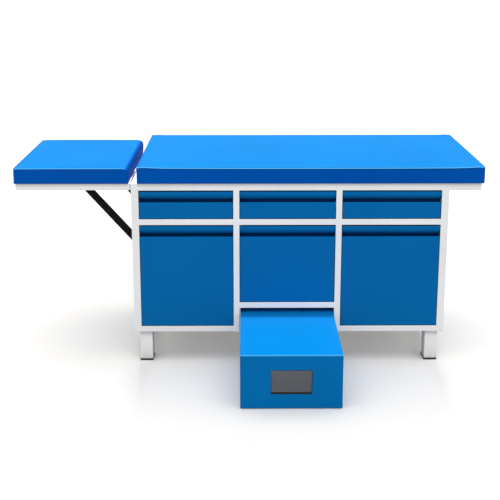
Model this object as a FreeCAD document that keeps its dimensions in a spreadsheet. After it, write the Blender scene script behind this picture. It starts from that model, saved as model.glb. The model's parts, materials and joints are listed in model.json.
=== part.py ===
import FreeCAD, Part
import Sketcher
import math
import operator
import os

# Examination table: a steel cabinet couch with a tilting head section and a pull-out step.
# Millimetres. +X runs to the foot end, -Y faces the person using the drawers, +Z is up.
# The origin lies on the floor, midway along the overall length and the overall depth.

SIZES = {
    # top and cushions
    "head_cushion_length": 457.0,
    "cushion_gap": 33.0,
    "main_cushion_length": 1390.0,
    "cushion_depth": 700.0,
    "head_cushion_depth": 605.0,
    "main_cushion_height": 68.0,
    "head_cushion_height": 62.0,
    "cushion_overhang": 10.0,
    "cushion_edge_radius": 5.0,
    "head_cushion_end_radius": 18.0,
    "board_thickness": 12.0,
    "board_inset": 4.0,
    # cabinet frame
    "frame_depth": 680.0,
    "post_offset": 8.0,
    "outer_post_width": 30.0,
    "inner_post_width": 25.0,
    "post_depth": 30.0,
    "left_bay_width": 380.0,
    "middle_bay_width": 389.0,
    "foot_overhang": 126.0,
    "tube_wall": 1.5,
    "leg_height": 132.0,
    "rail_height": 25.0,
    "top_rail_height": 30.0,
    "side_door_opening": 432.5,
    "drawer_opening": 118.5,
    "niche_clear_height": 235.0,
    "foot_rail_inset": 11.0,
    # legs
    "leg_inset": 21.0,
    "leg_width": 52.0,
    "leg_depth": 66.0,
    "leg_setback": 15.0,
    "leg_wall": 2.0,
    "glide_height": 8.0,
    "glide_margin": 1.0,
    # panels
    "sheet": 1.5,
    # drawer fronts and doors
    "front_gap": 2.5,
    "front_top_gap": 4.5,
    "front_thickness": 16.0,
    "front_skin": 2.0,
    "cavity_margin": 12.0,
    "hood_height": 37.5,
    "brow_height": 14.0,
    "bend_depth": 4.0,
    "bend_drop": 8.0,
    "curl_depth": 12.0,
    "curl_rise": 6.0,
    "slot_height": 6.5,
    "lip_height": 20.0,
    "pull_depth": 28.0,
    # door pivots and catches
    "pivot_inset": 5.0,
    "pivot_radius": 3.0,
    "pivot_depth": 10.0,
    "pivot_collar_radius": 4.6,
    "pivot_collar_slack": 0.3,
    "pivot_block": 12.0,
    "bore_clearance": 0.05,
    "bore_end_gap": 1.0,
    "catch_width": 36.0,
    "catch_height": 10.0,
    "catch_inset": 40.0,
    "catch_gap": 0.5,
    # drawers
    "drawer_depth": 560.0,
    "drawer_height": 84.0,
    "drawer_lift": 8.0,
    "runner_space": 12.0,
    "runner_height": 14.0,
    "runner_rise": 28.0,
    "runner_wall": 1.5,
    "runner_flange": 2.5,
    "runner_tongue": 1.5,
    "slide_clearance": 0.3,
    # head section frame and hinge
    "head_rail_height": 28.0,
    "head_rail_width": 30.0,
    "head_rail_inset": 7.0,
    "hinge_gap": 4.4,
    "leaf_thickness": 1.8,
    "leaf_height": 24.0,
    "hinge_length": 70.0,
    "hinge_inset": 80.0,
    "knuckle_radius": 4.5,
    "hinge_pin_radius": 2.5,
    "knuckle_gap": 0.4,
    "leaf_relief": 0.5,
    "knuckle_weld": 1.5,
    # struts
    "strut_low_inset": 11.5,
    "strut_low_height": 520.5,
    "strut_high_reach": 189.0,
    "strut_high_drop": 15.0,
    "strut_width": 28.5,
    "strut_thickness": 12.0,
    "strut_wall": 2.0,
    "strut_tube_short_of_pin": 18.25,
    "strut_plug": 16.0,
    "bar_length": 170.0,
    "bar_width": 16.0,
    "bar_thickness": 7.0,
    "bar_eye_radius": 9.0,
    "notch_first": 40.0,
    "notch_pitch": 16.0,
    "notch_width": 5.0,
    "notch_cut": 3.5,
    "ear_thickness": 3.0,
    "ear_gap": 1.0,
    "ear_width": 30.0,
    "ear_height": 40.0,
    "ear_foot": 2.0,
    "strut_pin_radius": 4.0,
    "strut_pin_head": 7.0,
    "strut_pin_head_height": 3.0,
    # pull-out step
    "step_reach": 436.0,
    "step_depth": 520.0,
    "step_height": 214.5,
    "step_side_gap": 3.0,
    "step_sheet": 2.0,
    "step_flange": 25.0,
    "step_foot_height": 3.0,
    "step_foot_length": 40.0,
    "step_foot_inset": 30.0,
    "hand_hole_width": 153.0,
    "hand_hole_height": 93.0,
    "hand_hole_rise": 61.0,
    "hand_hole_return": 13.0,
}
NOTCH_COUNT = 7
TOUCH = 0.01
OPERATIONS = {"+": operator.add, "-": operator.sub, "*": operator.mul, "/": operator.truediv}

doc = FreeCAD.newDocument("examination_table")
sheet = doc.addObject("Spreadsheet::Sheet", "Sizes")
pieces = []


class Size:
    """A number together with the sheet formula that gives it."""

    def __init__(self, value, formula):
        self.value = value
        self.formula = formula

    def join(self, sign, other):
        other = as_size(other)
        value = OPERATIONS[sign](self.value, other.value)
        return Size(value, "(%s %s %s)" % (self.formula, sign, other.formula))

    def __add__(self, other):
        return self.join("+", other)

    def __sub__(self, other):
        return self.join("-", other)

    def __mul__(self, other):
        return self.join("*", other)

    def __truediv__(self, other):
        return self.join("/", other)

    def __neg__(self):
        return Size(-self.value, "(-%s)" % self.formula)


def as_size(number):
    if isinstance(number, Size):
        return number
    return Size(float(number), "(%r)" % float(number))


def angle_of(rise, run):
    """The angle in degrees whose tangent is rise over run."""
    value = math.degrees(math.atan2(rise.value, run.value))
    return Size(value, "(atan(%s / %s) / 1deg)" % (rise.formula, run.formula))


def distance_of(rise, run):
    """The straight distance between two points that are rise and run apart."""
    value = math.hypot(rise.value, run.value)
    return Size(value, "sqrt(%s ^ 2 + %s ^ 2)" % (rise.formula, run.formula))


def fill_sheet():
    found = {}
    for row, (alias, value) in enumerate(SIZES.items(), start=1):
        sheet.set("A%d" % row, alias)
        sheet.set("B%d" % row, str(value))
        sheet.setAlias("B%d" % row, alias)
        found[alias] = Size(value, "Sizes." + alias)
    doc.recompute()
    return found


# General makers of bound solids

def bind(item, prop, size):
    item.setExpression(prop, as_size(size).formula)


def place(item, corner):
    for axis, size in zip("xyz", corner):
        bind(item, "Placement.Base." + axis, size)
    return item


def box(name, corner, size):
    item = doc.addObject("Part::Box", name)
    for prop, length in zip(("Length", "Width", "Height"), size):
        bind(item, prop, length)
    return place(item, corner)


AXIS_TURNS = {
    "Y": FreeCAD.Rotation(FreeCAD.Vector(1, 0, 0), -90),
    "Z": FreeCAD.Rotation(),
}


def cylinder(name, axis, start, radius, length):
    item = doc.addObject("Part::Cylinder", name)
    item.Placement = FreeCAD.Placement(FreeCAD.Vector(), AXIS_TURNS[axis])
    bind(item, "Radius", radius)
    bind(item, "Height", length)
    return place(item, start)


def cut(name, base, *tools):
    for number, tool in enumerate(tools, start=1):
        last = number == len(tools)
        item = doc.addObject("Part::Cut", name if last else "%s_cut_%d" % (name, number))
        item.Base = base
        item.Tool = tool
        base = item
    return base


def fuse(name, *solids):
    item = doc.addObject("Part::MultiFuse", name)
    item.Shapes = list(solids)
    return item


def group(name, *solids):
    item = doc.addObject("Part::Compound", name)
    item.Links = list(solids)
    return item


def keep(item, label):
    item.Label = label
    pieces.append(item)
    return item


def tube(name, corner, size, wall):
    """A closed hollow section."""
    inner_corner = [low + wall for low in corner]
    inner_size = [length - wall * 2 for length in size]
    outer = box(name + "_outer", corner, size)
    inner = box(name + "_inner", inner_corner, inner_size)
    return cut(name + "_tube", outer, inner)


def origin_plane(body, role):
    return [plane for plane in body.Origin.OriginFeatures if plane.Role == role][0]


def draw_outline(sketch, points):
    """Straight lines through the points, each point tied to the sheet."""
    corners = [FreeCAD.Vector(across.value, up.value, 0) for across, up in points]
    count = len(corners)
    for number in range(count):
        sketch.addGeometry(Part.LineSegment(corners[number], corners[(number + 1) % count]), False)
    for number in range(count):
        sketch.addConstraint(Sketcher.Constraint("Coincident", number, 2, (number + 1) % count, 1))
    for number, (across, up) in enumerate(points):
        for kind, size in (("DistanceX", across), ("DistanceY", up)):
            tie = sketch.addConstraint(Sketcher.Constraint(kind, -1, 1, number, 1, size.value))
            sketch.setExpression("Constraints[%d]" % tie, size.formula)


def profile(name, role, points, length):
    """A body made by padding one outline on an origin plane."""
    body = doc.addObject("PartDesign::Body", name)
    sketch = body.newObject("Sketcher::SketchObject", name + "_section")
    sketch.AttachmentSupport = [(origin_plane(body, role), "")]
    sketch.MapMode = "FlatFace"
    draw_outline(sketch, points)
    pad = body.newObject("PartDesign::Pad", name + "_pad")
    pad.Profile = sketch
    bind(pad, "Length", length)
    return body


sizes = fill_sheet()
zero = as_size(0)
wall = sizes["tube_wall"]
thin = sizes["sheet"]

# Places that the rest of the model shares

overall_length = sizes["head_cushion_length"] + sizes["cushion_gap"] + sizes["main_cushion_length"]
left_end = -(overall_length / 2)
head_end = left_end + sizes["head_cushion_length"]
main_start = head_end + sizes["cushion_gap"]
cabinet_left = head_end + sizes["post_offset"]
foot_rail_end = overall_length / 2 - sizes["foot_rail_inset"]

front = (sizes["step_reach"] - sizes["cushion_depth"] + sizes["cushion_overhang"]) / 2
rear = front + sizes["frame_depth"]
behind_posts = front + sizes["post_depth"]
before_rear_posts = rear - sizes["post_depth"]
cushion_front = front - sizes["cushion_overhang"]

low_rail = sizes["leg_height"]
low_deck = low_rail + sizes["rail_height"]
niche_rail = sizes["niche_clear_height"]
niche_deck = niche_rail + sizes["rail_height"]
middle_rail = low_deck + sizes["side_door_opening"]
drawer_floor = middle_rail + sizes["rail_height"]
top_rail = drawer_floor + sizes["drawer_opening"]
deck = top_rail + sizes["top_rail_height"]

# The right bay takes what the two others leave between the outer posts

BAYS = ("left", "middle", "right")
cabinet_right = foot_rail_end - sizes["foot_overhang"]
bay_width = {"left": sizes["left_bay_width"], "middle": sizes["middle_bay_width"]}
bay_start = {"left": cabinet_left + sizes["outer_post_width"]}
bay_start["middle"] = bay_start["left"] + bay_width["left"] + sizes["inner_post_width"]
bay_start["right"] = bay_start["middle"] + bay_width["middle"] + sizes["inner_post_width"]
bay_width["right"] = cabinet_right - sizes["outer_post_width"] - bay_start["right"]
bay_end = {bay: bay_start[bay] + bay_width[bay] for bay in BAYS}
door_floor = {"left": low_deck, "middle": niche_deck, "right": low_deck}

# Posts: two wide ones at each end of a row and two narrow ones between the bays

POSTS = (
    ("left", cabinet_left, sizes["outer_post_width"]),
    ("middle_left", bay_end["left"], sizes["inner_post_width"]),
    ("middle_right", bay_end["middle"], sizes["inner_post_width"]),
    ("right", bay_end["right"], sizes["outer_post_width"]),
)
post_height = top_rail - low_rail


def make_posts():
    rear_posts = []
    for side, start, width in POSTS:
        size = (width, sizes["post_depth"], post_height)
        name = "post_front_" + side
        keep(tube(name, (start, front, low_rail), size, wall), name)
        rear_posts.append(tube("post_rear_" + side, (start, before_rear_posts, low_rail), size, wall))
    keep(group("posts_rear_group", *rear_posts), "posts_rear")


# Rails: the top frame carries the couch, the lower ones close each bay

def make_top_rails():
    long_size = (foot_rail_end - cabinet_left, sizes["post_depth"], sizes["top_rail_height"])
    for name, start in (("rail_top_front", front), ("rail_top_rear", before_rear_posts)):
        keep(tube(name, (cabinet_left, start, top_rail), long_size, wall), name)
    span = before_rear_posts - behind_posts
    ends = (("rail_top_head", cabinet_left), ("rail_top_foot", foot_rail_end - sizes["outer_post_width"]))
    for name, start in ends:
        size = (sizes["outer_post_width"], span, sizes["top_rail_height"])
        keep(tube(name, (start, behind_posts, top_rail), size, wall), name)
    crossing = []
    for side, start, width in POSTS[1:]:
        size = (width, span, sizes["top_rail_height"])
        crossing.append(tube("rail_top_cross_" + side, (start, behind_posts, top_rail), size, wall))
    keep(group("rails_top_cross_group", *crossing), "rails_top_cross")


def make_bay_rails():
    def front_rail(name, bay, height):
        size = (bay_width[bay], sizes["post_depth"], sizes["rail_height"])
        return tube(name, (bay_start[bay], front, height), size, wall)

    middle = [front_rail("rail_middle_" + bay, bay, middle_rail) for bay in BAYS]
    keep(group("rails_middle_group", *middle), "rails_middle_front")
    keep(front_rail("rail_low_left", "left", low_rail), "rail_low_front_left")
    keep(front_rail("rail_low_right", "right", low_rail), "rail_low_front_right")
    keep(front_rail("rail_niche", "middle", niche_rail), "rail_niche_front")
    rear_rails = []
    for bay in BAYS:
        size = (bay_width[bay], sizes["post_depth"], sizes["rail_height"])
        corner = (bay_start[bay], before_rear_posts, low_rail)
        rear_rails.append(tube("rail_low_rear_" + bay, corner, size, wall))
    keep(group("rails_low_rear_group", *rear_rails), "rails_low_rear")
    side_rails = []
    for side, start, width in POSTS:
        size = (width, before_rear_posts - behind_posts, sizes["rail_height"])
        side_rails.append(tube("rail_low_side_" + side, (start, behind_posts, low_rail), size, wall))
    keep(group("rails_low_side_group", *side_rails), "rails_low_side")


# Legs and glides under the corners of the frame

def make_legs():
    left = cabinet_left + sizes["leg_inset"]
    right = cabinet_right - sizes["leg_inset"] - sizes["leg_width"]
    near = front + sizes["leg_setback"]
    far = rear - sizes["leg_setback"] - sizes["leg_depth"]
    margin = sizes["glide_margin"]
    legs = []
    glides = []
    corners = (("front_left", left, near), ("front_right", right, near),
               ("rear_left", left, far), ("rear_right", right, far))
    for corner, across, along in corners:
        size = (sizes["leg_width"], sizes["leg_depth"], low_rail - sizes["glide_height"])
        legs.append(tube("leg_" + corner, (across, along, sizes["glide_height"]), size, sizes["leg_wall"]))
        pad = (sizes["leg_width"] + margin * 2, sizes["leg_depth"] + margin * 2, sizes["glide_height"])
        glides.append(box("glide_" + corner, (across - margin, along - margin, zero), pad))
    keep(group("legs_group", *legs), "legs")
    keep(group("glides_group", *glides), "foot_glides")


# Panels: outer sides, back, double-skinned partitions and the cupboard floors

def make_panels():
    span = before_rear_posts - behind_posts
    height = top_rail - low_deck
    side_starts = (("side_panel_left", bay_start["left"] - thin), ("side_panel_right", bay_end["right"]))
    for name, start in side_starts:
        keep(box(name, (start, behind_posts, low_deck), (thin, span, height)), name)
    width = bay_end["right"] - bay_start["left"]
    back_face = before_rear_posts - thin
    keep(box("back_sheet", (bay_start["left"], back_face, low_deck), (width, thin, height)), "back_panel")
    for side, start, post_width in POSTS[1:3]:
        size = (post_width, back_face - behind_posts, height)
        keep(tube("partition_" + side, (start, behind_posts, low_deck), size, thin), "partition_" + side)
    floors = []
    for bay in BAYS:
        size = (bay_width[bay], back_face - behind_posts, thin)
        floors.append(box("floor_" + bay, (bay_start[bay], behind_posts, door_floor[bay] - thin), size))
    keep(group("floors_group", *floors), "cupboard_floors")


# Fronts: a flat double-skinned panel under a full-width finger pull.
# The pull is a hood that curls in below a flat brow, over a pocket behind the panel's lip.

def front_section(height):
    skin = sizes["front_skin"]
    depth = sizes["pull_depth"]
    lip_top = height - sizes["hood_height"] - sizes["slot_height"]
    pocket = lip_top - sizes["lip_height"]
    hood_low = height - sizes["hood_height"]
    brow_low = height - sizes["brow_height"]
    bend = sizes["bend_depth"]
    bend_low = brow_low - sizes["bend_drop"]
    curl = sizes["curl_depth"]
    curl_low = hood_low + sizes["curl_rise"]
    return [
        (zero, zero),
        (zero, lip_top),
        (skin, lip_top),
        (skin, pocket),
        (depth, pocket),
        (depth, hood_low),
        (curl, curl_low),
        (bend, bend_low),
        (zero, brow_low),
        (zero, height),
        (skin, height),
        (skin, brow_low),
        (bend + skin, bend_low + skin),
        (curl + skin, curl_low + skin),
        (depth + skin, hood_low + skin),
        (depth + skin, pocket - skin),
        (sizes["front_thickness"], pocket - skin),
        (sizes["front_thickness"], zero),
    ]


def front_blank(name, bay, floor, opening):
    """The pull-and-panel section along the bay, and the sealed hollow inside its flat panel."""
    gap = sizes["front_gap"]
    margin = sizes["cavity_margin"]
    skin = sizes["front_skin"]
    width = bay_width[bay] - gap * 2
    height = opening - gap - sizes["front_top_gap"]
    corner = (bay_start[bay] + gap, front, floor + gap)
    blank = profile(name + "_blank", "YZ_Plane", front_section(height), width)
    place(blank, corner)
    pull_height = sizes["hood_height"] + sizes["slot_height"] + sizes["lip_height"] + skin
    hollow_corner = (corner[0] + margin, corner[1] + skin, corner[2] + margin)
    hollow_size = (width - margin * 2, sizes["front_thickness"] - skin * 2, height - pull_height - margin * 2)
    hollow = box(name + "_hollow", hollow_corner, hollow_size)
    return blank, hollow


def make_drawers():
    opening = sizes["drawer_opening"]
    fixed_runners = []
    for bay in BAYS:
        name = "drawer_front_" + bay
        blank, hollow = front_blank(name, bay, drawer_floor, opening)
        keep(cut(name + "_cut", blank, hollow), name)
        fixed_runners += make_drawer_box(bay)
    keep(group("drawer_runners_group", *fixed_runners), "drawer_runners")


def make_drawer_box(bay):
    space = sizes["runner_space"]
    clear = sizes["slide_clearance"]
    near = front + sizes["pull_depth"] + sizes["front_skin"]
    left = bay_start[bay] + space
    width = bay_width[bay] - space * 2
    base = drawer_floor + sizes["drawer_lift"]
    outer_size = (width, sizes["drawer_depth"], sizes["drawer_height"])
    outer = box("tray_outer_" + bay, (left, near, base), outer_size)
    inner_size = (width - thin * 2, sizes["drawer_depth"] - thin * 2, sizes["drawer_height"])
    inner = box("tray_inner_" + bay, (left + thin, near + thin, base + thin), inner_size)
    keep(cut("tray_" + bay, outer, inner), "drawer_box_" + bay)

    runner_base = base + sizes["runner_rise"]
    runner_near = near + sizes["front_skin"]
    runner_length = sizes["drawer_depth"] - sizes["front_skin"]
    channel_width = space - sizes["runner_tongue"]
    groove_height = sizes["runner_height"] - sizes["runner_flange"] * 2
    groove_width = channel_width - sizes["runner_wall"]
    groove_base = runner_base + sizes["runner_flange"]
    tongue_width = space - sizes["runner_wall"] - clear
    tongue_height = groove_height - clear * 2
    tongues = []
    channels = []
    for side in ("left", "right"):
        tag = "%s_%s" % (bay, side)
        if side == "left":
            channel_left = bay_start[bay]
            groove_left = channel_left + sizes["runner_wall"]
            tongue_left = left - tongue_width
        else:
            channel_left = bay_end[bay] - channel_width
            groove_left = channel_left
            tongue_left = left + width
        body = box("channel_body_" + tag, (channel_left, runner_near, runner_base),
                   (channel_width, runner_length, sizes["runner_height"]))
        groove = box("channel_groove_" + tag, (groove_left, runner_near, groove_base),
                     (groove_width, runner_length, groove_height))
        channels.append(cut("channel_" + tag, body, groove))
        tongues.append(box("tongue_" + tag, (tongue_left, runner_near, groove_base + clear),
                           (tongue_width, runner_length, tongue_height)))
    keep(group("slides_" + bay, *tongues), "drawer_slides_" + bay)
    return channels


# Doors turn on short pins that stand in the rails above and below, close to the front corner

HINGE_SIDE = {"left": "left", "middle": "left", "right": "right"}


def pivot_x(bay):
    inset = sizes["front_gap"] + sizes["pivot_inset"]
    if HINGE_SIDE[bay] == "left":
        return bay_start[bay] + inset
    return bay_end[bay] - inset


def make_doors():
    bore = sizes["pivot_radius"] + sizes["bore_clearance"]
    bore_depth = sizes["pivot_depth"] + sizes["bore_end_gap"]
    block = sizes["pivot_block"]
    gap = sizes["front_gap"]
    along = front + sizes["pivot_inset"]
    pins = []
    catches = []
    for bay in BAYS:
        name = "door_" + bay
        floor = door_floor[bay]
        opening = middle_rail - floor
        blank, hollow = front_blank(name, bay, floor, opening)
        across = pivot_x(bay)
        door_low = floor + gap
        door_high = middle_rail - sizes["front_top_gap"]
        hinge_left = HINGE_SIDE[bay] == "left"
        block_left = bay_start[bay] + gap if hinge_left else bay_end[bay] - gap - block
        corner_block = box(name + "_block", (block_left, front, door_high - block - sizes["front_skin"]),
                           (block, block, block + sizes["front_skin"]))
        low_bore = cylinder(name + "_low_bore", "Z", (across, along, door_low), bore, bore_depth)
        high_start = (across, along, door_high - bore_depth)
        high_bore = cylinder(name + "_high_bore", "Z", high_start, bore, bore_depth)
        solid = fuse(name + "_solid", blank, corner_block)
        keep(cut(name + "_cut", solid, hollow, low_bore, high_bore), name)
        pins += pivot_pins(bay, across, along, floor)

        catch_left = bay_end[bay] - sizes["catch_inset"] - sizes["catch_width"]
        if not hinge_left:
            catch_left = bay_start[bay] + sizes["catch_inset"]
        catch_near = front + sizes["front_thickness"] + sizes["catch_gap"]
        catches.append(box("catch_" + bay, (catch_left, catch_near, floor),
                           (sizes["catch_width"], behind_posts - catch_near, sizes["catch_height"])))
    keep(group("pivot_pins_group", *pins), "door_pivot_pins")
    keep(group("catches_group", *catches), "door_catches")


def pivot_pins(bay, across, along, floor):
    radius = sizes["pivot_radius"]
    collar_radius = sizes["pivot_collar_radius"]
    pins = []
    for level, gap in (("low", sizes["front_gap"]), ("high", sizes["front_top_gap"])):
        collar = gap - sizes["pivot_collar_slack"]
        shank = gap + sizes["pivot_depth"]
        collar_base = shank_base = floor
        if level == "high":
            collar_base, shank_base = middle_rail - collar, middle_rail - shank
        tag = "%s_%s" % (level, bay)
        disc = cylinder("pin_collar_" + tag, "Z", (across, along, collar_base), collar_radius, collar)
        stem = cylinder("pin_shank_" + tag, "Z", (across, along, shank_base), radius, shank)
        pins.append(fuse("pin_" + tag, disc, stem))
    return pins


# Cushions: foam over a board, each with its board let into its underside

def upper_edges(shape, only_at_end=False):
    """Names of the edges clear of the underside, or of the one along the top of the far end."""
    limits = shape.BoundBox
    names = []
    for number, edge in enumerate(shape.Edges, start=1):
        middle = edge.CenterOfMass
        if only_at_end:
            wanted = abs(middle.z - limits.ZMax) < TOUCH and abs(middle.x - limits.XMax) < TOUCH
        else:
            wanted = middle.z - limits.ZMin > TOUCH
        if wanted:
            names.append("Edge%d" % number)
    return names


def round_edges(body, name, only_at_end, radius):
    doc.recompute()
    base = body.Tip
    rounding = body.newObject("PartDesign::Fillet", name)
    rounding.Base = (base, upper_edges(base.Shape, only_at_end))
    bind(rounding, "Radius", radius)
    body.Tip = rounding


def make_cushion(side, start, size, end_radius):
    length, depth, height = size
    inset = sizes["board_inset"]
    board_corner = (start + inset, cushion_front + inset, deck)
    board_size = (length - inset * 2, depth - inset * 2, sizes["board_thickness"])
    keep(box(side + "_board_blank", board_corner, board_size), side + "_board")
    outline = [(zero, zero), (length, zero), (length, height), (zero, height)]
    body = profile(side + "_foam", "XZ_Plane", outline, depth)
    place(body, (start, cushion_front + depth, deck))
    if end_radius is not None:
        round_edges(body, side + "_end_rounding", True, end_radius)
    round_edges(body, side + "_edge_rounding", False, sizes["cushion_edge_radius"])
    recess = box(side + "_recess", board_corner, board_size)
    keep(cut(side + "_foam_cut", body, recess), side + "_cushion")


def make_cushions():
    main_size = (sizes["main_cushion_length"], sizes["cushion_depth"], sizes["main_cushion_height"])
    make_cushion("main", main_start, main_size, None)
    head_size = (sizes["head_cushion_length"], sizes["head_cushion_depth"], sizes["head_cushion_height"])
    make_cushion("head", left_end, head_size, sizes["head_cushion_end_radius"])


# Head section frame: two long rails and two end rails

head_rail_base = deck - sizes["head_rail_height"]
head_left = left_end + sizes["head_rail_inset"]
head_right = cabinet_left - sizes["hinge_gap"]
head_rear = cushion_front + sizes["head_cushion_depth"] - sizes["cushion_overhang"]
head_inner_front = front + sizes["head_rail_width"]
head_inner_rear = head_rear - sizes["head_rail_width"]


def make_head_frame():
    rail = sizes["head_rail_width"]
    height = sizes["head_rail_height"]
    long_size = (head_right - head_left, rail, height)
    for name, along in (("head_rail_front", front), ("head_rail_rear", head_inner_rear)):
        keep(tube(name, (head_left, along, head_rail_base), long_size, wall), name)
    short_size = (rail, head_inner_rear - head_inner_front, height)
    for name, across in (("head_rail_end", head_left), ("head_rail_hinge", head_right - rail)):
        keep(tube(name, (across, head_inner_front, head_rail_base), short_size, wall), name)


# Butt hinges between the head frame and the cabinet, with their knuckles above the rails

hinge_x = cabinet_left - sizes["hinge_gap"] / 2
hinge_z = deck + sizes["knuckle_radius"]
HINGE_STARTS = (
    ("near", head_inner_front + sizes["hinge_inset"]),
    ("far", head_inner_rear - sizes["hinge_inset"] - sizes["hinge_length"]),
)


def make_hinges():
    gap = sizes["knuckle_gap"]
    length = sizes["hinge_length"]
    knuckle = (length - gap * 2) / 3
    bore = sizes["hinge_pin_radius"] + sizes["bore_clearance"]
    starts = [zero, knuckle + gap, knuckle * 2 + gap * 2]
    leaves = {
        "fixed": (cabinet_left - sizes["leaf_thickness"], (0, 2)),
        "moving": (head_right, (1,)),
    }
    made = {"fixed": [], "moving": []}
    pins = []
    leaf_top = deck - sizes["leaf_relief"]
    tab_height = sizes["leaf_relief"] + sizes["knuckle_weld"]
    for place_name, along in HINGE_STARTS:
        for kind, (leaf_left, turns) in leaves.items():
            tag = "%s_%s" % (kind, place_name)
            leaf = box("leaf_" + tag, (leaf_left, along, leaf_top - sizes["leaf_height"]),
                       (sizes["leaf_thickness"], length, sizes["leaf_height"]))
            solids = [leaf]
            for turn in turns:
                start = along + starts[turn]
                solids.append(box("tab_%s_%d" % (tag, turn), (leaf_left, start, leaf_top),
                                  (sizes["leaf_thickness"], knuckle, tab_height)))
                solids.append(cylinder("knuckle_%s_%d" % (tag, turn), "Y", (hinge_x, start, hinge_z),
                                       sizes["knuckle_radius"], knuckle))
            whole = fuse("hinge_whole_" + tag, *solids)
            hole = cylinder("hinge_hole_" + tag, "Y", (hinge_x, along, hinge_z), bore, length)
            made[kind].append(cut("hinge_" + tag, whole, hole))
        pins.append(cylinder("hinge_pin_" + place_name, "Y", (hinge_x, along, hinge_z),
                             sizes["hinge_pin_radius"], length))
    keep(group("hinge_fixed_group", *made["fixed"]), "hinge_leaves_fixed")
    keep(group("hinge_moving_group", *made["moving"]), "hinge_leaves_moving")
    keep(group("hinge_pins_group", *pins), "hinge_pins")


# Struts: a notched bar that slides in a flat tube, one at the front and one at the rear

low_x = cabinet_left + sizes["strut_low_inset"]
low_z = sizes["strut_low_height"]
high_x = cabinet_left - sizes["strut_high_reach"]
high_z = deck - sizes["strut_high_drop"]
strut_slope = angle_of(high_z - low_z, low_x - high_x)
strut_tube_length = distance_of(high_z - low_z, low_x - high_x) - sizes["strut_tube_short_of_pin"]
STRUT_SIDES = {
    "front": (head_inner_front, 1),
    "rear": (head_inner_rear, -1),
}


def aim(item, turn):
    """Turns a piece that was made along +X about its own origin, in the XZ plane."""
    item.Placement = FreeCAD.Placement(FreeCAD.Vector(), FreeCAD.Rotation(FreeCAD.Vector(0, 1, 0), 1))
    bind(item, "Placement.Rotation.Angle", turn)


def span_of(root, direction, start, length):
    """The lowest Y of a layer that starts at a distance from the rail's inner face."""
    if direction > 0:
        return root + start
    return root - start - length


def make_strut(side):
    root, direction = STRUT_SIDES[side]
    reach = sizes["ear_thickness"] + sizes["ear_gap"]
    depth = sizes["strut_thickness"]
    tube_near = span_of(root, direction, reach, depth)
    half = sizes["strut_width"] / 2
    shell = sizes["strut_wall"]
    bore = sizes["strut_pin_radius"] + sizes["bore_clearance"]
    channel_half = half - shell

    bar = box("strut_tube_box_" + side, (zero, zero, -half), (strut_tube_length, depth, half * 2))
    round_end = cylinder("strut_tube_end_" + side, "Y", (zero, zero, zero), half, depth)
    channel_length = strut_tube_length - sizes["strut_plug"]
    channel = box("strut_channel_" + side, (sizes["strut_plug"], shell, -channel_half),
                  (channel_length, depth - shell * 2, channel_half * 2))
    hole = cylinder("strut_tube_hole_" + side, "Y", (zero, zero, zero), bore, depth)
    whole = fuse("strut_tube_whole_" + side, bar, round_end)
    tube_solid = cut("strut_tube_cut_" + side, whole, channel, hole)
    aim(tube_solid, strut_slope + 180)
    place(tube_solid, (low_x, tube_near, low_z))
    keep(tube_solid, "strut_tube_" + side)

    bar_depth = sizes["bar_thickness"]
    bar_start = reach + (depth - bar_depth) / 2
    bar_near = span_of(root, direction, bar_start, bar_depth)
    bar_half = sizes["bar_width"] / 2
    flat_size = (sizes["bar_length"], bar_depth, bar_half * 2)
    flat = box("strut_bar_box_" + side, (zero, zero, -bar_half), flat_size)
    eye = cylinder("strut_bar_eye_" + side, "Y", (zero, zero, zero), sizes["bar_eye_radius"], bar_depth)
    eye_hole = cylinder("strut_bar_hole_" + side, "Y", (zero, zero, zero), bore, bar_depth)
    notches = []
    for number in range(NOTCH_COUNT):
        start = sizes["notch_first"] + sizes["notch_pitch"] * number
        notches.append(box("notch_%s_%d" % (side, number), (start, zero, bar_half - sizes["notch_cut"]),
                           (sizes["notch_width"], bar_depth, sizes["notch_cut"])))
    bar_whole = fuse("strut_bar_whole_" + side, flat, eye)
    bar_solid = cut("strut_bar_cut_" + side, bar_whole, eye_hole, *notches)
    aim(bar_solid, strut_slope)
    place(bar_solid, (high_x, bar_near, high_z))
    keep(bar_solid, "strut_bar_" + side)


def make_strut_bracket(side, level, root, direction):
    """An ear with its pin: the high one on the head rail, the low one on the side panel."""
    tag = "%s_%s" % (side, level)
    ear = sizes["ear_thickness"]
    pin_length = sizes["strut_thickness"] + sizes["ear_gap"] * 2
    near = span_of(root, direction, zero, ear)
    pin_near = span_of(root, direction, ear, pin_length)
    head_near = span_of(root, direction, ear + pin_length, sizes["strut_pin_head_height"])
    if level == "high":
        across, up = high_x, high_z
        ear_left = high_x - sizes["ear_width"] / 2
        plate = box("ear_" + tag, (ear_left, near, head_rail_base),
                    (sizes["ear_width"], ear, sizes["head_rail_height"]))
        solids = [plate]
    else:
        across, up = low_x, low_z
        panel_face = bay_start["left"] - thin
        low_base = low_z - sizes["ear_height"] / 2
        plate = box("ear_" + tag, (cabinet_left, near, low_base),
                    (panel_face - cabinet_left, ear, sizes["ear_height"]))
        foot_near = span_of(root, direction, zero, sizes["ear_width"])
        foot = box("ear_foot_" + tag, (panel_face - sizes["ear_foot"], foot_near, low_base),
                   (sizes["ear_foot"], sizes["ear_width"], sizes["ear_height"]))
        solids = [plate, foot]
    pin_radius = sizes["strut_pin_radius"]
    head_height = sizes["strut_pin_head_height"]
    solids.append(cylinder("strut_pin_" + tag, "Y", (across, pin_near, up), pin_radius, pin_length))
    solids.append(cylinder("strut_pin_head_" + tag, "Y", (across, head_near, up),
                           sizes["strut_pin_head"], head_height))
    return fuse("bracket_" + tag, *solids)


def make_struts():
    for side in STRUT_SIDES:
        make_strut(side)
    for level in ("low", "high"):
        brackets = [make_strut_bracket(side, level, *layer) for side, layer in STRUT_SIDES.items()]
        keep(group("brackets_%s_group" % level, *brackets), "strut_brackets_" + level)


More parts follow.
